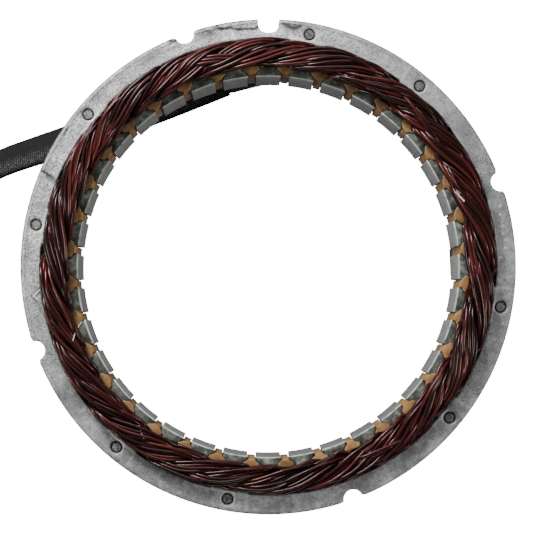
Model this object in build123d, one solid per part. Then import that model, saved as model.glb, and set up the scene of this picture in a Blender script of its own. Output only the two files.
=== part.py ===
from build123d import *
from math import atan2, cos, degrees, radians, sin, tan
import os

# Magneto stator, in millimetres. Z is the axis of the bore and Z = 0 is the face that it rests on.

# End rings
ring_outer_radius = 75.0
ring_width = 6.0
front_ring_height = 4.0
rim_chamfer = 0.7
boss_height = 0.7
boss_angle = 9.0
boss_cuff_gap = 0.2

# Core
slot_count = 36
core_length = 23.0
core_step = 0.2
slot_margin = 0.4
slot_depth = 10.6
slot_opening = 2.6
tooth_width = 5.3
tip_thickness = 1.3
tip_shoulder = 1.4

# Mounting notches, index notch and rivets
first_notch_angle = 20.0
notch_count = 4
notch_radius = 2.9
notch_depth = 3.0
notch_flare = 1.2
index_angle = 90.0
index_width = 6.3
index_depth = 4.1
index_corner = 2.6
rivet_angles = (80.0, 50.0, -10.0, -40.0, -100.0, -130.0, 170.0, 140.0)
rivet_inset = 3.7
rivet_radius = 1.6
rivet_clearance = 0.15
rivet_face_sink = 0.35

# Slot insulation
liner_fit = 0.05
liner_thickness = 0.3
liner_cuff = 1.0
wedge_fit = 0.25
wedge_neck_fit = 0.15
wedge_overhang = 0.45
wedge_thickness = 0.55
wedge_bore_step = 0.85
wedge_liner_gap = 0.1

# Coils: one leg in the outer layer of a slot, the other in the inner layer, one pole pitch on
coil_pitch = 3
phase_names = ("u", "v", "w")
leg_fit = 0.15
leg_gap = 0.4
leg_rise = 0.9
head_height = 9.5
head_foot = 3.6
head_crest = 15.0
head_lift = 1.2
head_ring_gap = 0.85
head_bore_gap = 2.45
head_coil_gap = 0.25
head_overlap_angle = 2.0
throat_width = 4.2
throat_gap = 0.35

# Sleeved lead along the rear face
sleeve_width = 9.0
sleeve_thickness = 4.4
sleeve_corner = 1.3
sleeve_foot = 0.4
sleeve_clearance = 0.4
lead_route = ((-13.5, 60.5), (-38.0, 50.7), (-66.0, 41.0), (-94.0, 31.5), (-114.1, 12.1), (-123.7, -14.2))
outlet_clearance = 0.5

# Shrink sleeves on the joint of the lead and on the star point
joint_sleeve_diameter = 3.6
joint_sleeve_gap = 0.75
joint_sleeve_offset = 2.3
joint_end_angle = 86.5
joint_end_inset = 4.6
joint_end_drop = 1.9
star_sleeve_diameter = 3.6
star_sleeve_inset = 2.6
star_sleeve_drop = 0.95
star_sleeve_angle = 2.2
star_sleeve_length = 9.0

# Connector on the end of the lead
plug_length = 22.0
plug_width = 15.0
plug_height = 8.0
plug_corner = 1.2
plug_foot = 0.2
plug_gap = 0.3
cavity_count = 3
cavity_pitch = 4.3
cavity_size = 3.0
cavity_depth = 12.0
latch_length = 9.0
latch_width = 5.0
latch_height = 1.6

# Cutters run past the faces that they open by this much
cut_margin = 1.0

slot_angle = 360.0 / slot_count
slot_angles = [slot_angle * (k + 0.5) for k in range(slot_count)]
half_slot = slot_angle / 2.0
ring_inner_radius = ring_outer_radius - ring_width
core_radius = ring_outer_radius - core_step
slot_bottom_radius = ring_inner_radius - slot_margin
bore_radius = slot_bottom_radius - slot_depth
tip_radius = bore_radius + tip_thickness
shoulder_radius = tip_radius + tip_shoulder
rivet_circle = ring_outer_radius - rivet_inset
rear_ring_height = head_height + sleeve_clearance + sleeve_thickness + sleeve_foot
core_bottom = rear_ring_height
core_top = core_bottom + core_length
core_middle = (core_bottom + core_top) / 2.0
rear_head_face = core_bottom - head_height
lead_height = sleeve_foot + sleeve_thickness / 2.0


def wall_at(radius, inset=0.0):
    """Half width of a slot at a distance from the axis, inside its straight tooth walls."""
    return radius * tan(radians(half_slot)) - (tooth_width / 2.0 + inset) / cos(radians(half_slot))


def mirrored_face(points):
    """A flat face from one side of its outline, mirrored across the X axis."""
    return make_face(Polyline(*points, *[(x, -y) for x, y in reversed(points)], close=True))


def around(shape, angles):
    """Copies of a shape made on the X axis, turned to each angle."""
    return [Rot(0, 0, angle) * shape for angle in angles]


def upright(face, bottom, top):
    """A flat face pulled up between two heights."""
    return Pos(0, 0, bottom) * extrude(face, top - bottom)


def slot_face():
    """The slot with its opening to the bore."""
    half_opening = slot_opening / 2.0
    return mirrored_face(
        [
            (bore_radius - cut_margin, half_opening),
            (tip_radius, half_opening),
            (shoulder_radius, wall_at(shoulder_radius)),
            (slot_bottom_radius, wall_at(slot_bottom_radius)),
        ]
    )


def layer_face(inset, inner, outer):
    """The part of a slot between two radii, drawn in from the tooth walls."""
    return mirrored_face([(inner, wall_at(inner, inset)), (outer, wall_at(outer, inset))])


# Notches through the rings and the core
def notch_cutter():
    """A round-bottomed bolt notch with a flared mouth."""
    centre = ring_outer_radius - notch_depth + notch_radius
    seat = Pos(centre, 0) * Circle(notch_radius)
    mouth = mirrored_face(
        [
            (centre, notch_radius),
            (ring_outer_radius - notch_flare, notch_radius),
            (ring_outer_radius + cut_margin, notch_radius + notch_flare + cut_margin),
        ]
    )
    return seat + mouth


def index_cutter():
    """The wider round-bottomed notch that sets the angle of the stator."""
    half = index_width / 2.0
    mouth = mirrored_face([(ring_outer_radius - index_depth, half), (ring_outer_radius + cut_margin, half)])
    return fillet(mouth.vertices().sort_by(Axis.X)[:2], index_corner)


notch_angles = [first_notch_angle + 360.0 / notch_count * k for k in range(notch_count)]
notch_faces = around(notch_cutter(), notch_angles) + around(index_cutter(), [index_angle])

# Laminated core with parallel-sided teeth
core_face = Circle(core_radius) - Circle(bore_radius)
for cutter in around(slot_face(), slot_angles) + notch_faces:
    core_face = core_face - cutter

parts = {}
parts["laminated_core"] = upright(core_face, core_bottom, core_top)


# Cast end rings
def end_ring(bottom, top, free_face):
    """A notched cast ring with a chamfer round the rim of its free face."""
    ring = upright(Circle(ring_outer_radius) - Circle(ring_inner_radius), bottom, top)
    rim = ring.edges().filter_by_position(Axis.Z, free_face, free_face).sort_by(SortBy.LENGTH)[-1]
    ring = chamfer(rim, rim_chamfer)
    for cutter in notch_faces:
        ring = ring - upright(cutter, bottom - cut_margin, top + cut_margin)
    return ring


front_ring_top = core_top + front_ring_height
front_ring = end_ring(core_top, front_ring_top, front_ring_top)
rear_ring = end_ring(0.0, rear_ring_height, 0.0)

# Shallow bosses inside the front ring, one behind each rivet, above the cuffs of the slot liners
boss_half = ring_inner_radius * tan(radians(boss_angle / 2.0))
boss_reach = mirrored_face([(bore_radius, boss_half), (ring_inner_radius + cut_margin, boss_half)])
boss_face = boss_reach & (Circle(ring_inner_radius + cut_margin) - Circle(ring_inner_radius - boss_height))
boss_bottom = core_top + liner_cuff + boss_cuff_gap
hole_face = Pos(rivet_circle, 0) * Circle(rivet_radius + rivet_clearance)
for boss, hole in zip(around(boss_face, rivet_angles), around(hole_face, rivet_angles)):
    front_ring = front_ring + upright(boss, boss_bottom, front_ring_top)
    front_ring = front_ring - upright(hole, core_top - cut_margin, front_ring_top + cut_margin)

# Outlet for the lead, cut across the resting face of the rear ring
outlet_start, outlet_end = Vector(*lead_route[1]), Vector(*lead_route[2])
outlet_run = outlet_end - outlet_start
outlet_turn = degrees(atan2(outlet_run.Y, outlet_run.X))
outlet_height = lead_height + sleeve_thickness / 2.0 + outlet_clearance
outlet_tool = Box(
    outlet_run.length + 2.0 * sleeve_width,
    sleeve_width + 2.0 * outlet_clearance,
    outlet_height + cut_margin,
    align=(Align.CENTER, Align.CENTER, Align.MAX),
)
outlet_middle = (outlet_start + outlet_end) / 2.0
outlet_place = Pos(outlet_middle.X, outlet_middle.Y, outlet_height) * Rot(0, 0, outlet_turn)
rear_ring = rear_ring - outlet_place * outlet_tool
parts["front_end_ring"] = front_ring
parts["rear_end_ring"] = rear_ring

# Rivet heads, seated on the core in the holes of the front ring
rivet_face = Pos(rivet_circle, 0) * Circle(rivet_radius)
rivet = upright(rivet_face, core_top, front_ring_top - rivet_face_sink)
parts["rivets"] = Compound(children=around(rivet, rivet_angles))

# Slot liners, U-shaped, with cuffs standing out at both faces
liner_inner = shoulder_radius + wedge_thickness
liner_outer = slot_bottom_radius - liner_fit
liner_walls = layer_face(liner_fit, liner_inner, liner_outer)
liner_room = layer_face(liner_fit + liner_thickness, liner_inner - cut_margin, liner_outer - liner_thickness)
liner = upright(liner_walls - liner_room, core_bottom - liner_cuff, core_top + liner_cuff)
parts["slot_liners"] = Compound(children=around(liner, slot_angles))

# Slot wedges, with a neck in the opening and a head behind the tooth tips
neck_half = slot_opening / 2.0 - wedge_neck_fit
wedge_side = liner_fit + liner_thickness + wedge_liner_gap
wedge_outer = liner_inner - wedge_liner_gap
wedge_face = mirrored_face(
    [
        (bore_radius + wedge_bore_step, neck_half),
        (tip_radius + wedge_fit, neck_half),
        (shoulder_radius + wedge_liner_gap, wall_at(shoulder_radius, wedge_side)),
        (wedge_outer, wall_at(wedge_outer, wedge_side)),
    ]
)
wedge = upright(wedge_face, core_bottom - wedge_overhang, core_top + wedge_overhang)
parts["slot_wedges"] = Compound(children=around(wedge, slot_angles))

# One diamond coil: two legs, and at each end a head that winds from the outer to the inner layer
head_outer_radius = ring_inner_radius - head_ring_gap
head_inner_radius = bore_radius + head_bore_gap
span = coil_pitch * slot_angle
ramp_angle = span + 2.0 * head_overlap_angle
pitch_share = slot_angle / ramp_angle
head_room = head_outer_radius - head_inner_radius
head_thickness = (head_room * pitch_share - head_coil_gap) / (1.0 + pitch_share)
ramp_shift = head_room - head_thickness
coil_step = ramp_shift * pitch_share
head_low = core_top + head_lift


def polar(angle, radius):
    """A place in plan, given by its angle and its distance from the axis."""
    return (radius * cos(radians(angle)), radius * sin(radians(angle)))


def head_band():
    """The head in plan, between two spirals, with its middle on the X axis."""
    angles = [-ramp_angle / 2.0, -slot_angle, 0.0, slot_angle, ramp_angle / 2.0]
    radii = [head_outer_radius - ramp_shift * (angle / ramp_angle + 0.5) for angle in angles]
    outer = [polar(angle, radius) for angle, radius in zip(angles, radii)]
    inner = [polar(angle, radius - head_thickness) for angle, radius in zip(angles, radii)]
    return make_face(Polyline(*outer, *reversed(inner), close=True))


def head_arch():
    """The head seen from the bore: an arch from leg to leg."""
    reach = head_outer_radius * sin(radians(ramp_angle / 2.0)) + cut_margin
    half_crest = head_crest / 2.0
    sides = [(reach, head_low), (reach, core_top + head_foot), (half_crest, core_top + head_height)]
    return make_face(Polyline(*sides, *[(-y, z) for y, z in reversed(sides)], close=True))


def throat(inner, outer):
    """The bundle between a leg and its head, on the X axis."""
    return Pos((inner + outer) / 2.0, 0, head_low) * Box(outer - inner, throat_width, 2.0 * leg_rise)


coil_head = upright(head_band(), head_low, core_top + head_height)
coil_head = coil_head & extrude(Plane.YZ * head_arch(), head_outer_radius)
leg_inset = liner_fit + liner_thickness + leg_fit
layer_inner = wedge_outer + leg_fit
layer_outer = liner_outer - liner_thickness - leg_fit
layer_middle = (layer_inner + layer_outer) / 2.0
outer_leg_face = layer_face(leg_inset, layer_middle + leg_gap / 2.0, layer_outer)
inner_leg_face = layer_face(leg_inset, layer_inner, layer_middle - leg_gap / 2.0)
outer_throat = throat(head_outer_radius - coil_step + throat_gap, layer_outer)
inner_throat = throat(layer_inner, head_inner_radius + coil_step - throat_gap)
outer_end = upright(outer_leg_face, core_middle, core_top + leg_rise) + outer_throat
inner_end = upright(inner_leg_face, core_middle, core_top + leg_rise) + inner_throat
half_coil = Rot(0, 0, span / 2.0) * coil_head + outer_end + Rot(0, 0, span) * inner_end
coil = half_coil + mirror(half_coil, about=Plane.XY.offset(core_middle))

# Twelve coils to a phase, two to a pole pair
coils_per_phase = slot_count // coil_pitch
for number, phase in enumerate(phase_names):
    for pair in range(coils_per_phase // 2):
        first = number + 2 * coil_pitch * pair
        pair_angles = [slot_angles[first], slot_angles[first + coil_pitch]]
        parts[f"phase_{phase}_pole_pair_{pair + 1}"] = Compound(children=around(coil, pair_angles))


# Sleeved lead: straight runs joined by tangent arcs, flat on the face that the stator rests on
def corner_radius(before, corner, after):
    """The largest arc that a corner of the route has room for."""
    run_in = Vector(*corner) - Vector(*before)
    run_out = Vector(*after) - Vector(*corner)
    return 0.45 * min(run_in.length, run_out.length) / tan(radians(run_in.get_angle(run_out)) / 2.0)


lead_radii = [corner_radius(*lead_route[k - 1 : k + 2]) for k in range(1, len(lead_route) - 1)]
print("lead arc radii", [round(radius, 1) for radius in lead_radii])
lead_path = FilletPolyline(*[(x, y, lead_height) for x, y in lead_route], radius=lead_radii)
half_thickness, half_width = sleeve_thickness / 2.0, sleeve_width / 2.0
sleeve_outline = Polyline(
    (half_thickness, half_width - sleeve_corner),
    (half_thickness - sleeve_corner, half_width),
    (sleeve_corner - half_thickness, half_width),
    (-half_thickness, half_width - sleeve_corner),
    (-half_thickness, sleeve_corner - half_width),
    (sleeve_corner - half_thickness, -half_width),
    (half_thickness - sleeve_corner, -half_width),
    (half_thickness, sleeve_corner - half_width),
    close=True,
)
sleeve_face = make_face(sleeve_outline)
lead_section = Plane(origin=lead_path @ 0, z_dir=lead_path % 0, x_dir=(0, 0, 1)) * sleeve_face
parts["lead_sleeve"] = sweep(lead_section, path=lead_path)
volume_share = parts["lead_sleeve"].volume / (sleeve_face.area * lead_path.length)
print("lead length", round(lead_path.length, 1), "volume over section times length", round(volume_share, 4))


# Shrink sleeves
def tube_between(start, end, diameter):
    """A straight sleeve between two places."""
    run = end - start
    return extrude(Plane(origin=start, z_dir=run) * Circle(diameter / 2.0), run.length)


lead_start, lead_next = Vector(*lead_route[0], lead_height), Vector(*lead_route[1], lead_height)
lead_back = (lead_start - lead_next).normalized()
joint_start = lead_start + lead_back * joint_sleeve_gap + lead_back.rotate(Axis.Z, -90) * joint_sleeve_offset
joint_end_height = rear_head_face - joint_end_drop
joint_end = Vector(*polar(joint_end_angle, bore_radius + joint_end_inset), joint_end_height)
parts["lead_joint_sleeve"] = tube_between(joint_start, joint_end, joint_sleeve_diameter)
star_height = rear_head_face - star_sleeve_drop
star_middle = Vector(*polar(star_sleeve_angle, bore_radius + star_sleeve_inset), star_height)
star_half = Vector(*polar(star_sleeve_angle + 90.0, star_sleeve_length / 2.0))
star_ends = (star_middle - star_half, star_middle + star_half)
parts["star_point_sleeve"] = tube_between(*star_ends, star_sleeve_diameter)

# Three-way connector on the end of the lead
plug_run = Vector(*lead_route[-1]) - Vector(*lead_route[-2])
plug_turn = degrees(atan2(plug_run.Y, plug_run.X))
housing = Pos(plug_gap, 0, plug_height / 2.0) * Box(
    plug_length, plug_width, plug_height, align=(Align.MIN, Align.CENTER, Align.CENTER)
)
housing = chamfer(housing.edges().filter_by(Axis.X), plug_corner)
for number in range(cavity_count):
    across = cavity_pitch * (number - (cavity_count - 1) / 2.0)
    cavity = Pos(plug_gap + plug_length + cut_margin, across, plug_height / 2.0) * Box(
        cavity_depth + cut_margin, cavity_size, cavity_size, align=(Align.MAX, Align.CENTER, Align.CENTER)
    )
    housing = housing - cavity
latch = Pos(plug_gap + plug_length - latch_length, 0, plug_height) * Box(
    latch_length, latch_width, 2.0 * latch_height, align=(Align.MIN, Align.CENTER, Align.CENTER)
)
parts["connector"] = Pos(*lead_route[-1], plug_foot) * Rot(0, 0, plug_turn) * (housing + latch)

os.makedirs("parts", exist_ok=True)
for name, shape in parts.items():
    export_step(shape, f"parts/{name}.step")
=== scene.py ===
import math
import bmesh
import bpy
import numpy as np
from mathutils import Matrix, Vector, noise
from mathutils.bvhtree import BVHTree


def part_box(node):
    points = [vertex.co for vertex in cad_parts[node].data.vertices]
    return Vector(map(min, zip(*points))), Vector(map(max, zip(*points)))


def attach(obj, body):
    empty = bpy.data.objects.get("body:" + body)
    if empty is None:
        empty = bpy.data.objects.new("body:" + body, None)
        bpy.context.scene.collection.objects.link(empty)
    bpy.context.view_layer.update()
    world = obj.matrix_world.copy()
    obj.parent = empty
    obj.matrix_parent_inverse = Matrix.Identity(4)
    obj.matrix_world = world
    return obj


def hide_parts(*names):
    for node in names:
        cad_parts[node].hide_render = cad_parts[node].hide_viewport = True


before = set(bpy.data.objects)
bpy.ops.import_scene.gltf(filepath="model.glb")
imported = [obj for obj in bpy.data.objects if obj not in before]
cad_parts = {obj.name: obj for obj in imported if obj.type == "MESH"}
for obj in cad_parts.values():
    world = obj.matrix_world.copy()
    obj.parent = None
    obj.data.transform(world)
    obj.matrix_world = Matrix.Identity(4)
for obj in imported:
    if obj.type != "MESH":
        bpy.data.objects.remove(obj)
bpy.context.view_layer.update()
mm = 0.001

# Camera, lights and floor
# The stator lies on a white table. The camera looks straight down from 0.6 m, a little off its axis.
camera = bpy.data.objects.new("camera", bpy.data.cameras.new("camera"))
bpy.context.collection.objects.link(camera)
camera.data.sensor_width = 36.0
camera.data.lens = 130.36
camera_place = Vector((-7.08, -16.38, 624.7)) * mm
camera_target = Vector((-0.63, -0.18, 41.7)) * mm
backward = (camera_place - camera_target).normalized()
rightward = Vector((0, 1, 0)).cross(backward).normalized()
turned = Matrix((rightward, backward.cross(rightward), backward)).transposed().to_4x4()
camera.matrix_world = Matrix.Translation(camera_place) @ turned
bpy.context.scene.camera = camera


def softbox(name, place, target, width, height, power, colour=(1.0, 1.0, 1.0)):
    """A rectangular studio light that points at a target."""
    light = bpy.data.lights.new(name, "AREA")
    light.shape = "RECTANGLE"
    light.size = width
    light.size_y = height
    light.energy = power
    light.color = colour
    holder = bpy.data.objects.new(name, light)
    bpy.context.collection.objects.link(holder)
    holder.location = place
    holder.rotation_euler = (Vector(target) - Vector(place)).to_track_quat("-Z", "Y").to_euler()


softbox("key_light", (-0.15, 0.23, 0.27), (-0.02, 0.03, 0.03), 0.12, 0.12, 1.85)
softbox("left_light", (-0.75, -0.1, 0.4), (0, 0, 0.03), 0.2, 0.4, 3.2)
softbox("right_light", (0.75, -0.1, 0.4), (0, 0, 0.03), 0.2, 0.4, 3.2)
softbox("far_light", (0.0, 0.68, 0.62), (0, 0, 0.03), 0.5, 0.2, 3.2)
softbox("low_front_light", (0.1, -0.8, 0.045), (0, 0, 0.025), 0.6, 0.05, 1.3)

world = bpy.data.worlds.new("studio")
world.use_nodes = True
surroundings = world.node_tree.nodes["Background"]
surroundings.inputs["Color"].default_value = (1.0, 1.0, 1.0, 1.0)
surroundings.inputs["Strength"].default_value = 0.17
bpy.context.scene.world = world

floor_shape = bmesh.new()
bmesh.ops.create_grid(floor_shape, x_segments=1, y_segments=1, size=2.0)
floor = bpy.data.objects.new("floor", bpy.data.meshes.new("floor"))
floor_shape.to_mesh(floor.data)
floor_shape.free()
bpy.context.collection.objects.link(floor)
table_top = bpy.data.materials.new("table_top")
table_top.use_nodes = True
for socket, value in (
    ("Base Color", (0.95, 0.95, 0.95, 1.0)),
    ("Roughness", 0.9),
    ("Specular IOR Level", 0.0),
    ("Emission Color", (1.0, 1.0, 1.0, 1.0)),
    ("Emission Strength", 16.0),
):
    table_top.node_tree.nodes["Principled BSDF"].inputs[socket].default_value = value
floor.data.materials.append(table_top)
floor.visible_diffuse = False
floor.visible_glossy = False

# Sleeved lead
# Three insulated wires in a flat black braid. They are soldered to the rear winding head, pass under
# the core and the rear ring, and lie on the table in one loose curve.


class Number:
    """The output of a shader node, to calculate with."""

    def __init__(self, finish, socket):
        self.finish = finish
        self.socket = socket

    def maths(self, operation, *others):
        return self.finish.node("Math", dict(enumerate((self, *others))), operation=operation)

    def __add__(self, other):
        return self.maths("ADD", other)

    def __sub__(self, other):
        return self.maths("SUBTRACT", other)

    def __rsub__(self, other):
        return self.finish.node("Math", {0: other, 1: self}, operation="SUBTRACT")

    def __mul__(self, other):
        return self.maths("MULTIPLY", other)

    def __truediv__(self, other):
        return self.maths("DIVIDE", other)

    def __pow__(self, other):
        return self.maths("POWER", other)

    __radd__ = __add__
    __rmul__ = __mul__

    def sine(self):
        return self.maths("SINE")

    def abs(self):
        return self.maths("ABSOLUTE")

    def least(self, other):
        return self.maths("MINIMUM", other)

    def rise(self, low, high):
        """0 below one value, 1 above the other, and a straight rise between them."""
        sockets = {0: self, 1: low, 2: high, 3: 0.0, 4: 1.0}
        return self.finish.node("MapRange", sockets, clamp=True)


class Finish:
    """A material and the nodes that vary over its surface."""

    def __init__(self, name, **fixed):
        self.material = bpy.data.materials.new(name)
        self.material.use_nodes = True
        self.tree = self.material.node_tree
        self.shader = self.tree.nodes["Principled BSDF"]
        for socket, value in fixed.items():
            self.feed(self.shader.inputs[socket.replace("_", " ")], value)
        self.place = self.node("TexCoord", {}, "Object")

    def feed(self, socket, value):
        if isinstance(value, Number):
            self.tree.links.new(value.socket, socket)
        elif isinstance(value, tuple) and socket.type == "RGBA":
            socket.default_value = (*value, 1.0)
        else:
            socket.default_value = value

    def node(self, kind, sockets, output=0, stops=None, **settings):
        """Any node: its settings first, then the values and links of its sockets."""
        made = self.tree.nodes.new("ShaderNode" + kind)
        for name, value in settings.items():
            setattr(made, name, value)
        if stops:
            while len(made.color_ramp.elements) < len(stops):
                made.color_ramp.elements.new(0.5)
            for element, (position, colour) in zip(made.color_ramp.elements, stops):
                element.position = position
                element.color = (*colour, 1.0)
        for name, value in sockets.items():
            self.feed(made.inputs[name], value)
        return Number(self, made.outputs[output])

    def noise(self, per_mm, detail=3.0, rough=0.5, place=None):
        sockets = {"Vector": place or self.place, "Scale": per_mm / mm, "Detail": detail, "Roughness": rough}
        return self.node("TexNoise", sockets)

    def mix(self, factor, one, other):
        return self.node("Mix", {0: factor, 6: one, 7: other}, 2, data_type="RGBA")

    def ramp(self, value, *stops):
        return self.node("ValToRGB", {"Fac": value}, stops=stops)

    def axis(self, name):
        return self.node("SeparateXYZ", {"Vector": self.place}, name)

    def towards(self, x, y):
        """How far the surface lies along a direction across the bore, in metres."""
        return self.axis("X") * x + self.axis("Y") * y

    def from_axis(self):
        """How far the surface lies from the axis of the bore, in metres."""
        return (self.axis("X") ** 2.0 + self.axis("Y") ** 2.0) ** 0.5

    def facing_up(self):
        """1 where the surface faces up, and 0 on an upright side."""
        return self.node("SeparateXYZ", {"Vector": self.node("NewGeometry", {}, "Normal")}, "Z")

    def bump(self, height, depth, strength):
        return self.node("Bump", {"Height": height, "Distance": depth * mm, "Strength": strength})

    def paint(self, **varied):
        for socket, value in varied.items():
            self.feed(self.shader.inputs[socket.replace("_", " ")], value)
        return self.material


def curve_piece(name, routes, order, resolution, radii=None, closed=False):
    """A NURBS curve with one spline for each route, its points in millimetres."""
    curve = bpy.data.curves.new(name, "CURVE")
    curve.dimensions = "3D"
    curve.resolution_u = resolution
    for route in routes:
        spline = curve.splines.new("NURBS")
        spline.points.add(len(route) - 1)
        for point, place in zip(spline.points, route):
            point.co = (*(Vector(place) * mm), 1.0)
        if radii is not None:
            for point, radius in zip(spline.points, radii):
                point.radius = radius
        spline.use_cyclic_u = closed
        spline.use_endpoint_u = not closed
        spline.order_u = order
    piece = bpy.data.objects.new(name, curve)
    bpy.context.collection.objects.link(piece)
    return piece


def as_mesh(piece):
    """The piece with its modifiers and bevels made into its mesh, and shaded smooth."""
    bpy.context.view_layer.update()
    evaluated = piece.evaluated_get(bpy.context.evaluated_depsgraph_get())
    mesh = bpy.data.meshes.new_from_object(evaluated)
    name = piece.name
    bpy.data.objects.remove(piece)
    mesh.name = name
    mesh.shade_smooth()
    made = bpy.data.objects.new(name, mesh)
    bpy.context.collection.objects.link(made)
    return made


lead_plan = ((-13.5, 60.5), (-38.0, 50.7), (-66.0, 41.0), (-94.0, 31.5), (-114.1, 12.1), (-123.7, -14.2))
lead_height = 2.6
sleeve_half_width = 4.4
sleeve_half_thickness = 2.05
sleeve_squareness = 0.8
sleeve_outline_points = 16
lead_route = [(x, y, lead_height) for x, y in lead_plan]

lead_line = as_mesh(curve_piece("lead_line", [lead_route], 3, 24))
bpy.data.objects.remove(lead_line)

sleeve_corners = []
for corner in range(sleeve_outline_points):
    angle = 2 * math.pi * (corner + 0.5) / sleeve_outline_points
    cosine, sine = math.cos(angle), math.sin(angle)
    across = sleeve_half_width * abs(cosine) ** sleeve_squareness * math.copysign(1, cosine)
    up = sleeve_half_thickness * abs(sine) ** sleeve_squareness * math.copysign(1, sine)
    sleeve_corners.append((across, up, 0.0))
sleeve_outline = curve_piece("sleeve_outline", [sleeve_corners], 3, 3, closed=True)
sleeve = curve_piece("braided_sleeve", [lead_route], 3, 24, radii=(1.06, 1.1, 1.1, 1.0, 1.0, 1.0))
sleeve.data.bevel_mode = "OBJECT"
sleeve.data.bevel_object = sleeve_outline
sleeve.data.twist_mode = "Z_UP"
sleeve.data.use_fill_caps = True
sleeve = as_mesh(sleeve)
bpy.data.objects.remove(sleeve_outline)

braid = Finish("black_braid", Specular_IOR_Level=0.08)
braid_map = braid.node("UVMap", {})
along = braid.node("SeparateXYZ", {"Vector": braid_map}, "X")
round_it = braid.node("SeparateXYZ", {"Vector": braid_map}, "Y")
yarns_along = 88.0
yarns_round = 10.0
sheen_at = 0.3
one_way = ((along * yarns_along + round_it * yarns_round) * (2 * math.pi)).sine()
other_way = ((along * yarns_along - round_it * yarns_round) * (2 * math.pi)).sine()
weave = one_way.abs().least(other_way.abs())
fuzz = braid.noise(2.6, 4.0, 0.7)
# The raised yarns are painted lighter on the top of the sleeve, most of all in one band along its length: a
# painted sheen
lit_top = braid.facing_up().rise(0.75, 0.97)
top_sheen_band = 1.0 - (round_it - sheen_at).abs().rise(0.06, 0.13)
raised = weave.rise(0.4, 0.8) * fuzz.rise(0.42, 0.56) * lit_top * (top_sheen_band * 0.9 + 0.1)
# The ground between the yarns is painted darkest in the gaps of the weave: painted shade
clear_of_gap_shade = weave.rise(0.0, 0.3)
gap_shaded_ground = braid.mix(clear_of_gap_shade * 0.7 + 0.3, (0.002, 0.002, 0.002), (0.0105, 0.0105, 0.01))
yarn_colour_and_sheen = braid.mix(raised, gap_shaded_ground, (0.17, 0.17, 0.165))
sleeve.data.materials.append(
    braid.paint(
        Base_Color=yarn_colour_and_sheen,
        Roughness=0.7 - raised * 0.2,
        Normal=braid.bump(weave + fuzz * 0.4, 0.15, 0.6),
    )
)
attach(sleeve, "root")
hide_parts("lead_sleeve")

# Connector
# A moulded three-way housing on the end of the lead, with a latch and grip ribs on top and brass
# sockets in its cavities.


def solid_copy(node, name, edge=0.0, segments=2):
    """A copy of a solid with its facets joined, and with its edges rounded."""
    shape = bmesh.new()
    shape.from_mesh(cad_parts[node].data)
    bmesh.ops.remove_doubles(shape, verts=shape.verts, dist=1e-6)
    bmesh.ops.dissolve_limit(shape, angle_limit=math.radians(0.5), verts=shape.verts, edges=shape.edges)
    piece = bpy.data.objects.new(name, bpy.data.meshes.new(name))
    shape.to_mesh(piece.data)
    shape.free()
    if "custom_normal" in piece.data.attributes:
        piece.data.attributes.remove(piece.data.attributes["custom_normal"])
    bpy.context.collection.objects.link(piece)
    if edge:
        bevel = piece.modifiers.new("edges", "BEVEL")
        bevel.width = edge * mm
        bevel.segments = segments
        bevel.limit_method = "ANGLE"
        bevel.angle_limit = math.radians(30)
        piece = as_mesh(piece)
        piece.data.set_sharp_from_angle(angle=math.radians(35))
    return piece


connector = solid_copy("connector", "connector_housing", 0.3)
nylon = Finish("black_nylon", Specular_IOR_Level=0.45)
grain = nylon.noise(4.0, 4.0, 0.7)
connector.data.materials.append(
    nylon.paint(
        Base_Color=nylon.mix(grain, (0.022, 0.022, 0.023), (0.04, 0.04, 0.042)),
        Roughness=0.42 + grain * 0.2,
        Normal=nylon.bump(grain, 0.03, 0.6),
    )
)
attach(connector, "root")
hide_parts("connector")

(before_x, before_y), (end_x, end_y) = lead_plan[-2:]
plug_turn = math.atan2(end_y - before_y, end_x - before_x)
plug_foot = 0.2
plug_place = Matrix.Translation(Vector((end_x, end_y, plug_foot)) * mm)
plug_place = plug_place @ Matrix.Rotation(plug_turn, 4, "Z") @ Matrix.Scale(mm, 4)


def place_on_plug(shape, name, material):
    """A piece made in millimetres along the housing, put in its place on the connector."""
    bmesh.ops.transform(shape, matrix=plug_place, verts=shape.verts)
    bmesh.ops.recalc_face_normals(shape, faces=shape.faces)
    piece = bpy.data.objects.new(name, bpy.data.meshes.new(name))
    shape.to_mesh(piece.data)
    shape.free()
    bpy.context.collection.objects.link(piece)
    piece.data.materials.append(material)
    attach(piece, "root")
    return piece


def points_in(geometry):
    """The points in a stretch of geometry."""
    return [item for item in geometry if isinstance(item, bmesh.types.BMVert)]


def edges_between(geometry, points):
    """The edges in a stretch of geometry that run from one of the points to another."""
    edges = [item for item in geometry if isinstance(item, bmesh.types.BMEdge)]
    return [edge for edge in edges if all(point in points for point in edge.verts)]


rib_size = Matrix.Diagonal((0.8, 9.0, 0.9, 1.0))
rib_count = 4
rib_pitch = 1.7
first_rib = 2.6
rib_height = 8.1
rib_shape = bmesh.new()
for rib in range(rib_count):
    rib_place = Matrix.Translation((first_rib + rib_pitch * rib, 0, rib_height))
    bmesh.ops.create_cube(rib_shape, size=1.0, matrix=rib_place @ rib_size)
bmesh.ops.bevel(
    rib_shape, geom=rib_shape.edges[:], offset=0.25, segments=2, profile=0.5, affect="EDGES", material=-1
)
grip_ribs = place_on_plug(rib_shape, "connector_grip_ribs", nylon.material)

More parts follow.
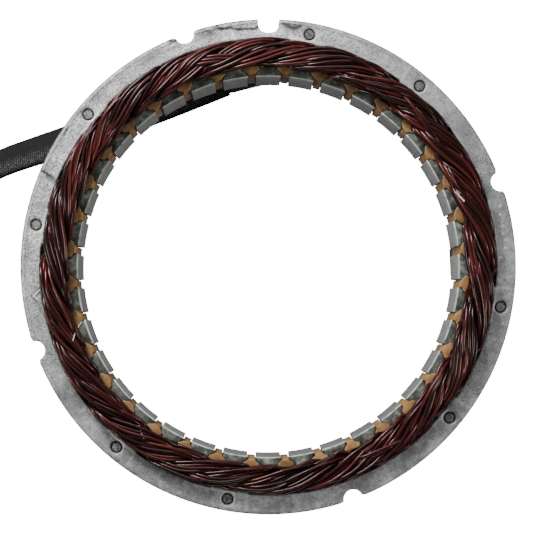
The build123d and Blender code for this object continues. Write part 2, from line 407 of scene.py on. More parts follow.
socket_start = 16.0
socket_pitch = 4.3
socket_height = 4.0
socket_radius = 1.05
socket_steps = ((4.6, 1.0), (0.15, 0.93), (0.0, 0.8), (-4.4, 1.0))
socket_shape = bmesh.new()
for middle in (-socket_pitch, 0.0, socket_pitch):
    mouth_place = Matrix.Translation((socket_start, middle, socket_height))
    mouth_place = mouth_place @ Matrix.Rotation(math.radians(90), 4, "Y")
    bmesh.ops.create_circle(
        socket_shape, cap_ends=False, radius=socket_radius, segments=16, matrix=mouth_place
    )
    rim_edges = [edge for edge in socket_shape.edges if edge.is_wire]
    for reach, size in socket_steps:
        grown = bmesh.ops.extrude_edge_only(socket_shape, edges=rim_edges)["geom"]
        rim_points = points_in(grown)
        rim_edges = edges_between(grown, rim_points)
        bmesh.ops.translate(socket_shape, verts=rim_points, vec=(reach, 0, 0))
        for point in rim_points:
            point.co.y = middle + (point.co.y - middle) * size
            point.co.z = socket_height + (point.co.z - socket_height) * size
brass = Finish("dull_brass", Metallic=0.9)
tarnish = brass.noise(1.5, 3.0, 0.6)
brass.paint(
    Base_Color=brass.mix(tarnish, (0.35, 0.22, 0.07), (0.7, 0.5, 0.22)),
    Roughness=0.3 + tarnish * 0.2,
)
brass_sockets = place_on_plug(socket_shape, "connector_brass_sockets", brass.material)

# Laminated core
# Punched steel sheets, stacked and varnished. The cut edges show as fine lines in the bore and round
# the rim, and the front sheet has a greenish grey film of varnish.
core_low, core_high = [place[2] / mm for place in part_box("laminated_core")]
core = solid_copy("laminated_core", "laminated_core_stack", 0.22)
slot_count = 36
slot_pitch = 360.0 / slot_count
steel = Finish("varnished_steel", Metallic=0.55, Specular_IOR_Level=0.5)
height = steel.axis("Z")
flat = steel.facing_up().abs().rise(0.75, 0.95)
layered = steel.node("Mapping", {"Vector": steel.place, "Scale": (0.05, 0.05, 1.0)})
sheets = steel.noise(1.5, 4.0, 0.75, layered)
wear = steel.noise(0.5, 4.0, 0.6)
blotch = steel.noise(0.33, 5.0, 0.65)
cut_edge = steel.mix(wear.rise(0.3, 0.7), (0.27, 0.28, 0.275), (0.46, 0.47, 0.46))
cut_edge = steel.mix((1.0 - sheets.rise(0.36, 0.46)) * 0.55, cut_edge, (0.1, 0.095, 0.085))
film = steel.ramp(
    blotch,
    (0.34, (0.04, 0.045, 0.04)),
    (0.46, (0.085, 0.095, 0.08)),
    (0.54, (0.15, 0.165, 0.14)),
    (0.62, (0.27, 0.28, 0.24)),
    (0.72, (0.42, 0.42, 0.37)),
)

# A ragged line of painted shade runs beside the head of each wedge, darkest on the side that the light
# misses
across = steel.from_axis()
east, north = steel.axis("X") / across, steel.axis("Y") / across
phase = (north.maths("ARCTAN2", east) / math.radians(slot_pitch)).maths("FRACT") - 0.5
from_slot = phase.abs() * math.radians(slot_pitch) * across
head_side = across.rise(59.1 * mm, 60.3 * mm) * 1.5 * mm + 1.45 * mm
shaded_side = 0.45 - phase.rise(-0.05, 0.05) * east * 1.1 + east * 0.55
shaded_side = shaded_side + (0.0 - north).rise(0.0, 1.0) * 0.3
ragged = steel.noise(0.9, 3.0, 0.6).rise(0.34, 0.5)
gap_shade_line = 1.0 - (from_slot - head_side).abs().rise(0.22 * mm, 0.45 * mm)
gap_shade_line = gap_shade_line * ragged * shaded_side.rise(0.0, 1.0)
film = steel.mix(gap_shade_line, film, (0.004, 0.004, 0.003))

# The cut edges are painted paler near the front, as if lit, with a painted highlight on the front corner
upper = height.rise((core_high - 5.5) * mm, (core_high - 0.6) * mm) * (1.0 - flat)
corner = height.rise((core_high - 0.45) * mm, (core_high - 0.2) * mm)
corner = corner * (1.0 - across.rise(58.15 * mm, 58.4 * mm)) * wear.rise(0.25, 0.5)
side_colour = steel.mix(upper * 0.5, cut_edge, (0.6, 0.61, 0.6))
# Painted shade darkens the cut edges on the side away from the index notch, which is the side away from the
# light
away_side_shade = steel.towards(0.0, -1.0).rise(0.0, 0.05)
side_colour = steel.mix(away_side_shade * 0.35, side_colour, (0.16, 0.16, 0.155))
# The varnish film is painted darker towards the lower left: painted shade
lower_left_shade = steel.towards(-0.7, -0.7).rise(0.03, 0.06)
film = steel.mix(lower_left_shade * 0.4, film, (0.05, 0.055, 0.045))
steel_colour = steel.mix(corner * 0.85, steel.mix(flat, side_colour, film), (0.85, 0.87, 0.83))
core.data.materials.append(
    steel.paint(
        Base_Color=steel_colour,
        Roughness=0.4 + wear * 0.2,
        Normal=steel.bump(sheets * (1.0 - flat) + wear * 0.5, 0.08, 0.6),
    )
)
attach(core, "root")
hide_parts("laminated_core")

# Cast end rings
# Two die-cast aluminium rings that clamp the core between them. The front one is rough and pitted,
# with worn steps, dents, scratches and rounded edges, and has a boss round each rivet.
front_ring_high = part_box("front_end_ring")[1][2] / mm
# Radii of the painted shade on the rim's rounded edge, and of two fine dark lines further in
rim_line_radii = (74.45, 74.75)
second_line_radius = 73.75
inner_line_radius = 73.4


def cast_finish(name, bright):
    """Cast aluminium, speckled and pitted, with painted light that brightens it towards the upper left."""
    cast = Finish(name, Metallic=0.45, Specular_IOR_Level=0.5)

    def shade(red, green, blue):
        return (red * bright, green * bright, blue * bright)

    speckle = cast.noise(1.7, 5.0, 0.8)
    cloud = cast.noise(0.09, 4.0, 0.6)
    streak = cast.noise(0.5, 5.0, 0.7)
    pits = cast.node("TexVoronoi", {"Vector": cast.place, "Scale": 0.9 / mm, "Randomness": 1.0}, "Distance")
    pit = 1.0 - pits.rise(0.08, 0.25)
    # Painted light: the face and its grain are brighter towards the upper left, where the light falls
    upper_left_light = cast.towards(-0.8, 1.1).rise(0.0, 0.1)
    light_and_shade_mark = cast.node("Attribute", {}, "Fac", attribute_name="light_and_shade_mark")
    plain = cast.ramp(
        speckle * 0.25 + cloud * 0.4 + streak * 0.35,
        (0.38, shade(0.13, 0.133, 0.134)),
        (0.5, shade(0.27, 0.275, 0.275)),
        (0.6, shade(0.48, 0.485, 0.485)),
    )
    lit_grain = cast.ramp(
        speckle * 0.7 + cloud * 0.15 + streak * 0.15,
        (0.38, shade(0.05, 0.052, 0.053)),
        (0.46, shade(0.26, 0.265, 0.265)),
        (0.52, shade(0.6, 0.605, 0.6)),
        (0.6, shade(1.0, 1.0, 1.0)),
    )
    tone = cast.mix(upper_left_light, plain, lit_grain)
    plate = 1.0 - cast.noise(0.13, 5.0, 0.65).rise(0.45, 0.52)
    tone = cast.mix(plate * (upper_left_light * 0.4 + 0.1), tone, shade(0.2, 0.2, 0.2))
    # Painted shade darkens the face towards the upper right
    dull = cast.towards(0.8, 0.6).rise(0.05, 0.075)
    tone = cast.mix(dull * 0.3, tone, shade(0.14, 0.14, 0.14))
    tone = cast.mix(pit * 0.5, tone, (0.1, 0.1, 0.105))
    across = cast.from_axis()
    # Painted shade darkens the rounded outer edge of the rim, and fine dark lines run round it further in
    rim_edge = cast.axis("Z").rise((front_ring_high - 1.5) * mm, (front_ring_high - 1.0) * mm)
    rim_shade_and_lines = across.rise(rim_line_radii[0] * mm, rim_line_radii[1] * mm) * rim_edge * (upper_left_light * 0.45 + 0.4)
    second_line = 1.0 - (across - second_line_radius * mm).abs().rise(0.12 * mm, 0.3 * mm)
    rim_shade_and_lines = rim_shade_and_lines + second_line * upper_left_light * streak.rise(0.38, 0.5) * 0.6
    vein = 1.0 - (cast.noise(0.6, 2.0, 0.5) - 0.5).abs().rise(0.008, 0.03)
    vein = vein * cloud.rise(0.42, 0.55) * (upper_left_light * 0.4 + 0.15)
    inner_line = 1.0 - (across - inner_line_radius * mm).abs().rise(0.1 * mm, 0.4 * mm)
    inner_line = inner_line * upper_left_light * cloud.rise(0.4, 0.6) * 0.4
    # Where the mark is below 0 it is painted shade, and where it is above 0 a painted highlight
    dark = ((0.0 - light_and_shade_mark * speckle * 2.0).rise(0.0, 1.0) + rim_shade_and_lines + inner_line + vein).least(1.0)
    tone = cast.mix(dark, tone, (0.04, 0.04, 0.04))
    return cast.paint(
        Base_Color=cast.mix(light_and_shade_mark.rise(0.0, 1.0), tone, (0.95, 0.95, 0.95)),
        Roughness=0.34 + speckle * 0.25,
        Normal=cast.bump(speckle - pit * 0.6, 0.25, 0.9),
    )


front_ring = solid_copy("front_end_ring", "front_ring_casting")
remesh = front_ring.modifiers.new("even", "REMESH")
remesh.mode = "VOXEL"
remesh.voxel_size = 0.36 * mm
soften = front_ring.modifiers.new("soften", "SMOOTH")
soften.factor = 0.5
soften.iterations = 4
front_ring = as_mesh(front_ring)

ring_points = np.empty(3 * len(front_ring.data.vertices))
front_ring.data.vertices.foreach_get("co", ring_points)
ring_points = ring_points.reshape(-1, 3) / mm
ring_radii = np.hypot(ring_points[:, 0], ring_points[:, 1])
ring_turns = np.arctan2(ring_points[:, 1], ring_points[:, 0])

# The rim, drawn in by the rounding of its edges, is filled out again as far as the ring's own radius
rim_start = 73.6
ring_limit = 74.99
filled_radii = ring_radii + 0.25 * np.clip(ring_radii - rim_start, 0, 1)
ring_points[:, :2] *= (np.minimum(filled_radii, ring_limit) / ring_radii)[:, None]

# Wear is cut into the face alone, and the marks hold painted highlights above 0 and painted shade below
face_depth = 1.3
on_face = np.clip((ring_points[:, 2] - front_ring_high + face_depth) / 0.8, 0, 1)
marks = np.zeros(len(ring_points))


def point_gap(x, y):
    """How far each point of the ring lies from one place on its face."""
    return np.hypot(ring_points[:, 0] - x, ring_points[:, 1] - y)


def line_gap(line):
    """How far each point of the ring lies from a line across its face, and on which side of it."""
    nearest = np.full(len(ring_points), 1e3)
    side = np.zeros(len(ring_points))
    for start, end in zip(np.array(line[:-1]), np.array(line[1:])):
        run = end - start
        offset = ring_points[:, :2] - start
        along_run = np.clip(offset @ run / (run @ run), 0, 1)
        away = offset - along_run[:, None] * run
        distance = np.hypot(away[:, 0], away[:, 1])
        cross = run[0] * offset[:, 1] - run[1] * offset[:, 0]
        closer = distance < nearest
        nearest[closer] = distance[closer]
        side[closer] = np.sign(cross[closer])
    return nearest, side


def fading(gap, width):
    """1 where the gap is nothing, and next to nothing past two widths."""
    return np.exp(-((gap / width) ** 2))


def cast_step(line, drop, reach):
    """Lowers the face on the right of a line, and less so away from it, and paints shade along the line."""
    gap, side = line_gap(line)
    ring_points[:, 2] -= on_face * drop * np.exp(-gap / reach) * (side < 0)
    marks[:] -= fading(gap, 0.36)


def scratch(line, depth, width):
    """Cuts a fine groove along a line, and paints shade in it."""
    groove = depth * fading(line_gap(line)[0], width)
    ring_points[:, 2] -= on_face * groove
    marks[:] -= 5.0 * groove


top_left_step = ((-15.7, 72.9), (-14.7, 71.8), (-11.7, 72.2), (-9.9, 71.8))
cast_step((*top_left_step, (-7.7, 71.9), (-4.4, 71.9), (-3.0, 72.6)), 0.3, 2.0)
cast_step(((-30.0, 68.2), (-27.2, 68.4), (-25.5, 68.9), (-24.2, 68.8)), 0.25, 1.4)
cast_step(((-68.7, 28.9), (-67.2, 28.0), (-65.6, 27.0), (-64.1, 25.4)), 0.3, 1.6)
scratch(((-67.2, 27.3), (-65.9, 26.0), (-64.6, 24.8)), 0.16, 0.3)
scratch(((-70.9, -9.8), (-69.2, -12.0), (-67.6, -15.6)), 0.14, 0.25)
scratch(((-74.5, 1.5), (-71.6, 4.1), (-69.4, 2.6)), 0.07, 0.25)
scratch(((4.5, 73.6), (7.5, 72.0), (9.6, 72.6)), 0.14, 0.5)

# One V-shaped scratch has a painted highlight and a border of painted shade
gap = line_gap(((-69.0, -7.2), (-71.05, -9.05), (-69.6, -10.2)))[0]
marks += fading(gap, 0.2) - 0.8 * fading(gap - 0.45, 0.18)

# Each patch of painted shade has its angle, its distance from the axis, its length, its width and its
# strength
shade_patches = (
    (104.5, 72.6, 3.2, 1.4, 0.75),
    (84.3, 72.8, 2.8, 1.4, 0.65),
    (113.1, 72.1, 3.5, 0.8, 0.6),
    (119.5, 72.5, 3.5, 0.9, 0.5),
    (129.8, 73.1, 5.0, 0.6, 0.25),
    (135.7, 72.8, 4.0, 0.8, 0.3),
    (145.7, 73.4, 3.0, 0.5, 0.25),
    (155.7, 71.8, 2.5, 1.0, 0.35),
    (177.3, 72.4, 4.0, 1.0, 0.25),
    (196.0, 71.5, 6.0, 1.2, 0.15),
)
for angle, away, along_it, across_it, strength in shade_patches:
    off_angle = (np.degrees(ring_turns) - angle + 180.0) % 360.0 - 180.0
    off_along = np.radians(off_angle) * away
    marks -= strength * fading(off_along, along_it) * fading(ring_radii - away, across_it)

# Small dents lie all round the face, and closer together on the upper left
dent_count = 150
upper_left_dents = 61
dents = np.random.default_rng(5)
for dent in range(dent_count):
    angle = math.radians(dents.uniform(80, 215) if dent < upper_left_dents else dents.uniform(0, 360))
    away = dents.uniform(69.2, 74.6)
    gap = point_gap(away * math.cos(angle), away * math.sin(angle))
    size = dents.uniform(0.3, 0.9)
    ring_points[:, 2] -= on_face * dents.uniform(0.04, 0.14) * fading(gap, size)

# A shallow seat surrounds each rivet, ringed by a painted highlight, with painted shade next to the rivet
rivet_angles = (80, 50, -10, -40, -100, -130, 170, 140)
rivet_circle = 71.3
rivet_seat_radius = 2.25
boss_half_angle = 4.6
boss_reach = (68.8, 74.2)
for angle in rivet_angles:
    turn = math.radians(angle)
    gap = point_gap(rivet_circle * math.cos(turn), rivet_circle * math.sin(turn))
    ring_points[:, 2] -= on_face * 0.22 * np.clip((rivet_seat_radius - gap) / 0.4, 0, 1)
    marks += 0.3 * fading(gap - 2.05, 0.25) - 0.6 * fading(gap - 1.66, 0.12)
    # Each boss has a painted highlight on one edge and painted shade on the other
    for side in (-1, 1):
        side_turn = math.radians(angle + side * boss_half_angle)
        boss_edge = [(reach * math.cos(side_turn), reach * math.sin(side_turn)) for reach in boss_reach]
        marks += side * 0.16 * fading(line_gap(boss_edge)[0], 0.4)

# A painted highlight runs along the inner lip in places, and seven painted glints lie in a row on the right
lip_radius = 69.35
lip = np.clip(0.32 + 0.2 * np.sin(5.0 * ring_turns + 0.6) + 0.2 * np.sin(13.0 * ring_turns), 0, 1)
marks += lip * fading(ring_radii - lip_radius, 0.28)
for x, y in ((70.1, 18.2), (70.1, 15.6), (70.8, 12.2), (71.0, 9.8), (71.7, 7.9), (71.6, 5.5), (70.2, 2.8)):
    marks += 0.9 * fading(point_gap(x, y), 0.3)

# The whole face is a little uneven, as it was cast
for number, point in enumerate(ring_points):
    rough = 0.07 * noise.noise(Vector(point) * 0.3) + 0.05 * noise.noise(Vector(point) * 1.1)
    ring_points[number, 2] += on_face[number] * rough
front_ring.data.vertices.foreach_set("co", (ring_points * mm).ravel())
front_ring.data.update()
front_ring.data.attributes.new("light_and_shade_mark", "FLOAT", "POINT").data.foreach_set("value", marks * on_face)
front_ring.data.materials.append(cast_finish("cast_aluminium_front", 1.0))
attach(front_ring, "root")
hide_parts("front_end_ring")

rear_ring = solid_copy("rear_end_ring", "rear_ring_casting", 0.3)
rear_ring.data.materials.append(cast_finish("cast_aluminium_rear", 0.9))
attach(rear_ring, "root")
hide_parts("rear_end_ring")

# Rivets
# Eight dull steel rivets that hold the rings and the core together. Their heads are set a little
# below the face of the front ring, and two of them have a short groove.
rivets = solid_copy("rivets", "rivet_heads", 0.3, 1)
rivet_steel = Finish("dull_rivet_steel", Metallic=0.2)
scuff = rivet_steel.noise(1.6, 4.0, 0.6)
rivet_face = rivet_steel.mix(scuff.rise(0.38, 0.6), (0.05, 0.05, 0.048), (0.23, 0.23, 0.225))
# The sloping rim of each head is painted dark: painted shade
rivet_rim_shade = rivet_steel.mix(scuff.rise(0.5, 0.65), (0.008, 0.008, 0.008), (0.12, 0.12, 0.12))
# The rivets towards the top are painted darker: painted shade
far_rivet_shade = rivet_steel.towards(0.26, 0.97).rise(0.03, 0.07)
rivet_face = rivet_steel.mix(far_rivet_shade * 0.5, rivet_face, (0.03, 0.03, 0.03))
for angle, lean in ((-100, 35), (80, -40)):
    groove_x = rivet_steel.axis("X") - rivet_circle * mm * math.cos(math.radians(angle))
    groove_y = rivet_steel.axis("Y") - rivet_circle * mm * math.sin(math.radians(angle))
    cosine, sine = math.cos(math.radians(lean)), math.sin(math.radians(lean))
    in_length = 1.0 - (groove_x * cosine + groove_y * sine).abs().rise(0.6 * mm, 0.8 * mm)
    in_width = 1.0 - (groove_y * cosine - groove_x * sine).abs().rise(0.08 * mm, 0.22 * mm)
    rivet_face = rivet_steel.mix(in_width * in_length, rivet_face, (0.02, 0.02, 0.02))
rivets.data.materials.append(
    rivet_steel.paint(
        Base_Color=rivet_steel.mix(rivet_steel.facing_up().rise(0.8, 0.97), rivet_rim_shade, rivet_face),
        Roughness=0.45 + scuff * 0.2,
        Normal=rivet_steel.bump(scuff, 0.15, 0.8),
    )
)
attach(rivets, "root")
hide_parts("rivets")

# Slot liners and wedges
# Brown insulating paper folded into the slots, and fibre wedges that close the slot openings. Each
# wedge has a flared head, pressed flat on the front of the core.
liners = solid_copy("slot_liners", "slot_liner_papers", 0.05, 1)
wedges = solid_copy("slot_wedges", "slot_wedge_fibres", 0.22)
paper = Finish("varnished_fibre", Coat_Weight=0.25, Coat_Roughness=0.3)
fibre = paper.noise(0.25, 3.0, 0.5)
fleck = paper.noise(2.2, 4.0, 0.7)
paper_tone = paper.ramp(
    fibre * 0.7 + fleck * 0.3,
    (0.32, (0.13, 0.06, 0.022)),
    (0.47, (0.27, 0.135, 0.045)),
    (0.6, (0.38, 0.215, 0.076)),
    (0.72, (0.55, 0.38, 0.2)),
)
# The fibre is painted darker towards the lower left: painted shade
lower_left_paper_shade = paper.towards(-0.7, -0.7).rise(0.03, 0.06)
paper_tone = paper.mix(lower_left_paper_shade * 0.45, paper_tone, (0.15, 0.07, 0.022))
paper_material = paper.paint(
    Base_Color=paper_tone,
    Roughness=0.45 + fleck * 0.2,
    Normal=paper.bump(fleck + fibre, 0.12, 0.6),
)
wedge_lift = 0.15
for point in [vertex.co for vertex in wedges.data.vertices if vertex.co.z > core_high * mm]:
    point.z = (core_high + wedge_lift) * mm + (point.z - core_high * mm) * 0.1

head_thickness = 0.43
half_head = [(58.88, 1.1), (59.15, 1.2), (59.5, 1.75), (59.85, 2.3), (60.3, 2.6), (60.8, 2.5), (61.3, 2.0)]
corners = half_head + [(x, -y) for x, y in reversed(half_head)]
head_shape = bmesh.new()
head_face = head_shape.faces.new([head_shape.verts.new((x, y, core_high + 0.02)) for x, y in corners])
raised_points = points_in(bmesh.ops.extrude_face_region(head_shape, geom=[head_face])["geom"])
bmesh.ops.translate(head_shape, verts=raised_points, vec=(0, 0, head_thickness))
bmesh.ops.bevel(
    head_shape,
    geom=edges_between(head_shape.edges, raised_points),
    offset=0.3,
    segments=3,
    profile=0.5,
    affect="EDGES",
    material=-1,
    clamp_overlap=True,
)
heads = [head_shape.verts[:] + head_shape.edges[:] + head_shape.faces[:]]
while len(heads) < slot_count:
    heads.append(bmesh.ops.duplicate(head_shape, geom=heads[0])["geom"])
for slot, head in enumerate(heads):
    turn = Matrix.Rotation(math.radians(slot_pitch * (slot + 0.5)), 3, "Z")
    bmesh.ops.rotate(head_shape, cent=(0, 0, 0), matrix=turn, verts=points_in(head))
bmesh.ops.scale(head_shape, vec=(mm, mm, mm), verts=head_shape.verts)
bmesh.ops.recalc_face_normals(head_shape, faces=head_shape.faces)
wedge_heads = bpy.data.objects.new("slot_wedge_heads", bpy.data.meshes.new("slot_wedge_heads"))
head_shape.to_mesh(wedge_heads.data)
head_shape.free()
wedge_heads.data.shade_smooth()
bpy.context.collection.objects.link(wedge_heads)
for piece, node in ((liners, "slot_liners"), (wedges, "slot_wedges"), (wedge_heads, "slot_wedges")):
    piece.data.materials.append(paper_material)
    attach(piece, "root")
    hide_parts(node)

# Windings
# Each coil is sixteen turns of dark red enamelled copper wire. Its turns leave the outer half of one
# slot, cross over side by side, and go down into the inner half of the third slot on.
wire_radius = 0.5
columns, layers = 5, 3
wires_per_coil = columns * layers + 1
coil_span = 3 * slot_pitch
station_angle = 2.0
stations_round = int(360 / station_angle)
stations_across = int(coil_span / station_angle)
head_low = core_high + 1.2
head_high = 47.2
column_pitch = 2.3
layer_pitch = 2.75
outer_lay, inner_lay = 68.7, 60.4
first_layer_rise = 1.4
outer_foot_radius, inner_foot_radius = 66.0, 62.5
foot_low, foot_high = core_high - 1.5, core_high + 1.6
draw = np.random.default_rng(11)
wire_paths, wire_coils, wire_feet = [], [], []


def place_wire(first, count, radii, heights, coil, feet):
    """Keeps one wire as its stations round the ring, its distances from the axis and its heights."""
    wire_paths.append(np.column_stack([(first + np.arange(count)) % stations_round, radii, heights]))
    wire_coils.append(coil)
    wire_feet.append(feet)


def ease(value):
    """A soft rise from 0 to 1."""
    value = np.clip(value, 0.0, 1.0)
    return value * value * (3.0 - 2.0 * value)


for coil in range(slot_count):
    first = int(round(slot_pitch * (coil + 0.5) / station_angle))
    angles = station_angle * np.arange(stations_across + 1)
    crossing = draw.uniform(13.0, 20.0)
    middle = coil_span / 2.0 + draw.uniform(-1.5, 1.5)
    shelf = draw.uniform(-0.4, 0.4)
    for turn in range(wires_per_coil):
        column, layer = turn % columns, turn // columns
        if layer < layers:
            own_middle = middle + column_pitch * (column - (columns - 1) / 2.0) + draw.uniform(-0.35, 0.35)
            own_crossing = crossing + draw.uniform(-1.0, 1.0)
        else:
            layer = layers - 1
            own_middle = middle + draw.uniform(-6.0, 6.0)
            own_crossing = crossing * draw.uniform(0.6, 1.5)
        outer_end = outer_lay - draw.uniform(0.0, 0.7)
        inner_end = inner_lay + draw.uniform(0.0, 0.8)
        crossed = ease((angles - own_middle) / own_crossing + 0.5)
        radii = outer_end + (inner_end - outer_end) * crossed
        climb = ease(angles / 5.0) * ease((coil_span - angles) / 6.0)
        rise = first_layer_rise + layer_pitch * layer + shelf + draw.uniform(-0.25, 0.25)
        heights = head_low + wire_radius + climb * rise
        outer_foot = (draw.uniform(-1.6, 1.6), draw.uniform(64.4, 67.6))
        inner_foot = (draw.uniform(-1.6, 1.6), draw.uniform(61.5, 63.4))
        feet = outer_foot + inner_foot
        place_wire(first, stations_across + 1, radii, heights, coil, feet)

# Connecting wires lie over the coils and lean the other way, a few together at three places
for centre, wires in ((42, 2), (103, 3), (300, 2)):
    for wire in range(wires):
        count = int(draw.integers(12, 16))
        first = int(round((centre + draw.uniform(-4, 4) + 1.6 * wire) / station_angle - count / 2))
        share = np.arange(count) / (count - 1.0)
        radii = 62.4 + 4.4 * (ease(share) + draw.uniform(-0.05, 0.05)) + draw.uniform(-0.4, 0.2)
        heights = head_low + 2.0 + 6.2 * np.sin(math.pi * share) ** 0.4
        place_wire(first, count, radii, heights, int(draw.integers(0, 3)), None)

# Where wires would cut through each other they are pushed apart, station by station, and kept inside
# the room between the bore and the front ring
push_rounds = 150
push_share = 0.42
smoothing = 0.3
pull_back = 0.03
far_away = 1e6
points = np.concatenate(wire_paths)
guide = points[:, 1:].copy()
places = guide.copy()
station_of = points[:, 0].astype(int)
wire_ends = np.cumsum([len(path) for path in wire_paths])
is_first = np.zeros(len(points), bool)
is_first[np.concatenate([[0], wire_ends[:-1]])] = True
is_last = np.zeros(len(points), bool)
is_last[wire_ends - 1] = True
inside = ~(is_first | is_last)
members = [np.flatnonzero(station_of == station) for station in range(stations_round)]
most = max(len(group) for group in members)
table = np.full((stations_round, most), len(points))
for station, group in enumerate(members):
    table[station, : len(group)] = group
station_angles = station_of * station_angle
off_boss = np.array([abs((station_angles - angle + 180.0) % 360.0 - 180.0) for angle in rivet_angles])
boss_room_angle = 5.5
at_boss = off_boss.min(0) < boss_room_angle
ring_room = np.where(at_boss, 68.3, 68.95)
bundle_outside = np.where(at_boss, 68.6, 69.15)
bundle_inside = 59.65 - 0.25 * np.cos(np.radians(station_angles))
bundle_centre_height = head_low + 3.6
bundle_half_height = 4.7
clearance = 2.0 * wire_radius + 0.02
middle_radii = (bundle_inside + bundle_outside) / 2.0
half_widths = (bundle_outside - bundle_inside) / 2.0 - wire_radius
bundle_middle = np.column_stack([middle_radii, np.full(len(points), bundle_centre_height)])
bundle_half = np.column_stack([half_widths, np.full(len(points), bundle_half_height - wire_radius)])
for push_round in range(push_rounds):
    padded = np.vstack([places, [[far_away, far_away]]])
    spread = padded[table]
    gap = spread[:, :, None, :] - spread[:, None, :, :]
    distance = np.sqrt((gap**2).sum(-1)) + np.eye(most) * far_away + 1e-6
    push = np.clip(clearance - distance, 0.0, None)
    moved = (gap / distance[..., None] * push[..., None] * push_share).sum(2)
    change = np.zeros_like(padded)
    change[table.ravel()] = moved.reshape(-1, 2)
    places = places + change[:-1]
    smooth = places.copy()
    between = 0.5 * (np.roll(places, 1, 0) + np.roll(places, -1, 0))
    smooth[inside] += smoothing * (between[inside] - places[inside])
    places = smooth + pull_back * (guide - smooth)
    offset = (places - bundle_middle) / bundle_half
    reach = (np.abs(offset) ** 4).sum(1) ** 0.25
    outside = reach > 1.0
    places[outside] = (bundle_middle + offset / reach[:, None] * bundle_half)[outside]
    places[:, 1] = np.clip(places[:, 1], head_low + wire_radius, head_high - wire_radius)
    widest = np.where(places[:, 1] < front_ring_high + wire_radius, ring_room, bundle_outside) - wire_radius
    places[:, 0] = np.clip(places[:, 0], bundle_inside + wire_radius, widest)


def wire_route(number):
    """One wire's points in millimetres, from slot to slot."""
    end = wire_ends[number]
    begin = end - len(wire_paths[number])
    angles = np.radians((wire_paths[number][0, 0] + np.arange(end - begin)) * station_angle)
    own = places[begin:end]
    if wire_feet[number] is None:
        return [(r * math.cos(a), r * math.sin(a), z) for a, (r, z) in zip(angles, own)]
    before, outer_foot, after, inner_foot = wire_feet[number]
    foot_start = angles[0] + before / outer_foot_radius
    foot_end = angles[-1] + after / inner_foot_radius
    route = [(foot_start, outer_foot, foot_low), (foot_start + 0.004, outer_foot, foot_high)]
    route += [(angle, radius, height_here) for angle, (radius, height_here) in list(zip(angles, own))[1:-1]]
    route += [(foot_end - 0.004, inner_foot, foot_high), (foot_end, inner_foot, foot_low)]
    return [(r * math.cos(a), r * math.sin(a), z) for a, r, z in route]


def round_wires(name, routes, radius, order, resolution, roundness, radii=None, caps=False):
    """Round wires or threads along their routes, as one mesh, with 4 + 2 * roundness sides."""
    wires = curve_piece(name, routes, order, resolution, radii)
    wires.data.bevel_depth = radius * mm
    wires.data.bevel_resolution = roundness
    wires.data.use_fill_caps = caps
    return as_mesh(wires)


enamel = Finish("red_enamel", Metallic=0.45, Specular_IOR_Level=0.15, Coat_Weight=0.4, Coat_Roughness=0.05)
wire_tone = enamel.node("Attribute", {}, "Fac", attribute_name="tone")
patch = enamel.noise(0.12, 3.0, 0.5)
speck = enamel.noise(1.2, 3.0, 0.6)
enamel_colour = enamel.ramp(
    wire_tone * 0.5 + patch * 0.5,
    (0.22, (0.017, 0.0066, 0.0057)),
    (0.45, (0.033, 0.0088, 0.0076)),
    (0.63, (0.058, 0.0118, 0.0102)),
    (0.8, (0.1, 0.018, 0.0155)),
)
enamel_material = enamel.paint(
    Base_Color=enamel_colour,
    Roughness=0.25 + speck * 0.12,
    Normal=enamel.bump(speck, 0.03, 0.3),
)
wire_order, wire_steps = 4, 2
rear_turn = Matrix.Rotation(math.radians(120), 4, "Z")
rear_drop = Matrix.Translation((0, 0, (core_low + core_high) * mm))
front_bundles = []
wire_tones = draw.uniform(0.0, 1.0, len(wire_paths))
for phase_number, phase in enumerate("uvw"):
    mine = [n for n, coil in enumerate(wire_coils) if coil % 3 == phase_number]
    routes = [wire_route(n) for n in mine]
    for side, roundness in (("front", 2), ("rear", 1)):
        name = f"phase_{phase}_{side}_wires"
        bundle = round_wires(name, routes, wire_radius, wire_order, wire_steps, roundness)
        # A stretch of one tone is three rounds of points shorter than a wire, so wires change tone
        stretches = [(4 + 2 * roundness) * (wire_steps * (len(route) - 1) - 3) for route in routes]
        tones = np.resize(np.repeat(wire_tones[mine], stretches), len(bundle.data.vertices))
        tone = bundle.data.attributes.new("tone", "FLOAT", "POINT")
        tone.data.foreach_set("value", tones)
        if side == "front":
            front_bundles.append(bundle)
        else:
            bundle.data.transform(rear_turn @ rear_drop @ Matrix.Scale(-1, 4, (0, 0, 1)))
            bundle.data.flip_normals()
        bundle.data.materials.append(enamel_material)
        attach(bundle, "root")
        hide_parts(*[f"phase_{phase}_pole_pair_{n}" for n in range(1, 7)])

# Shrink sleeves
# Black shrink tube over the soldered joint of the lead and over the star point of the winding. Three
# wires of the winding end in each, and the three wires of the lead in the first.
shrink = Finish("shrink_tube", Specular_IOR_Level=0.5)
wrinkle = shrink.noise(0.8, 3.0, 0.6)
shrink_material = shrink.paint(
    Base_Color=shrink.mix(wrinkle, (0.012, 0.012, 0.013), (0.03, 0.03, 0.032)),
    Roughness=0.35 + wrinkle * 0.2,
    Normal=shrink.bump(wrinkle, 0.3, 0.5),
)
joint_wire_radius = 0.85
joint_routes = [
    [(-16.5, 61.7 + k, 2.4), (-13.5, 60.5 + k, 2.6), (-12.0, 60.6 + k, 2.7), (-9.8, 61.0 + k, 2.9)]
    for k in (-2.9, -1.6, -0.2)
]
joint_wires = round_wires("joint_wires", joint_routes, joint_wire_radius, 3, 6, 3)
joint_wires.data.materials.append(shrink_material)
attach(joint_wires, "root")


def round_axis(angle, radius, height):
    """A point at an angle round the bore's axis, in millimetres."""
    return (radius * math.cos(math.radians(angle)), radius * math.sin(math.radians(angle)), height)


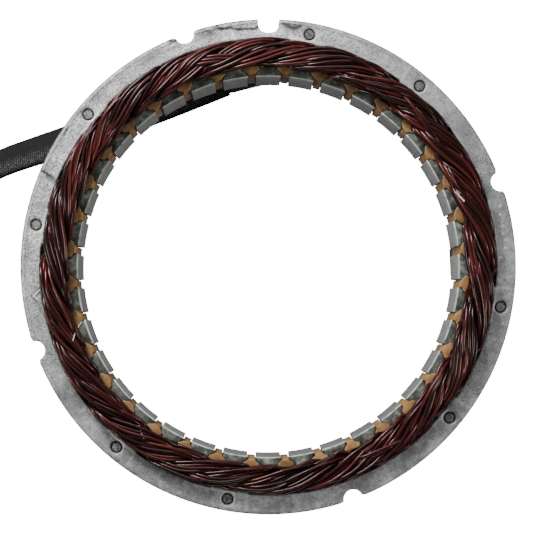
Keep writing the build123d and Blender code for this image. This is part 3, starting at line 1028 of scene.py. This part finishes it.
def fanned_wires(held, free, fan):
    """Routes of three wires, held together in a sleeve and then fanned out by an angle for each wire."""
    routes = []
    for wire, (side, lift) in enumerate(((-0.7, 0.3), (0.1, -0.6), (0.75, 0.35))):
        route = [round_axis(angle, radius + side, height + lift) for angle, radius, height in held]
        route += [round_axis(angle + fan * wire, radius + side, height) for angle, radius, height in free]
        routes.append(route)
    return routes


star_low, star_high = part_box("star_point_sleeve")
star_height = (star_low[2] + star_high[2]) / 2.0 / mm
star_held = ((4.5, 60.7, star_height), (6.6, 60.7, star_height), (8.2, 61.3, star_height + 0.6))
star_free = ((10.0, 62.6, star_height + 3.2), (12.5, 64.0, star_height + 5.2))
joint_held = ((88.5, 62.6, 3.3), (86.0, 62.6, 3.4), (84.3, 63.0, 4.1))
joint_free = ((82.5, 63.8, 6.6), (80.0, 64.8, 9.2))
star_wires = fanned_wires(star_held, star_free, 1)
winding_ends = fanned_wires(joint_held, joint_free, -1)
for name, routes in (("star_point_wires", star_wires), ("lead_joint_wires", winding_ends)):
    ends = round_wires(name, routes, wire_radius, 3, 4, 3)
    ends.data.materials.append(enamel_material)
    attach(ends, "root")
for node in ("lead_joint_sleeve", "star_point_sleeve"):
    tube = solid_copy(node, node + "_tube", 0.5, 3)
    tube.data.materials.append(shrink_material)
    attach(tube, "root")
    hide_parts(node)

# Loose fibres
# A pale shred of lacing thread and two stiff fibres of slot paper lie on the front of the winding.
bpy.context.view_layer.update()
evaluated = bpy.context.evaluated_depsgraph_get()
below = [BVHTree.FromObject(piece, evaluated) for piece in front_bundles + [core, wedge_heads]]


def resting_height(x, y, radius):
    """The height at which a thin thread lies over whatever is below it, in millimetres."""
    well_above = Vector((x, y, head_high + 10.0)) * mm
    hits = [tree.ray_cast(well_above, Vector((0, 0, -1)))[0] for tree in below]
    return max([hit.z / mm for hit in hits if hit is not None] + [core_high]) + radius


threads = (
    ("thread_shred", ((56.5, 22.4), (57.0, 21.2), (58.1, 20.1), (58.8, 19.3)), (0.1, 0.18, 0.24, 0.32)),
    ("paper_fibre_left", ((-56.6, -16.8), (-57.9, -19.3), (-58.6, -22.6)), (0.1, 0.14, 0.1)),
    ("paper_fibre_low", ((-38.9, -47.9), (-38.3, -49.8), (-37.3, -51.8)), (0.1, 0.14, 0.1)),
)
thread = Finish("pale_thread")
thread_grain = thread.noise(3.0, 3.0, 0.6)
thread.paint(
    Base_Color=thread.mix(thread_grain, (0.45, 0.42, 0.38), (0.85, 0.83, 0.8)),
    Roughness=0.6 + thread_grain * 0.2,
    Normal=thread.bump(thread_grain, 0.1, 0.5),
)
for name, plan, radii in threads:
    heights = [resting_height(x, y, radius) for (x, y), radius in zip(plan, radii)]
    for middle in range(1, len(plan) - 1):
        sag_free = (heights[middle - 1] + heights[middle + 1]) / 2.0 + 0.4
        heights[middle] = max(heights[middle], sag_free)
    route = [(x, y, min(high, head_high - 0.4)) for (x, y), high in zip(plan, heights)]
    piece = round_wires(name, [route], 1.0, 3, 8, 3, radii, caps=True)
    piece.data.materials.append(thread.material)
    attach(piece, "root")
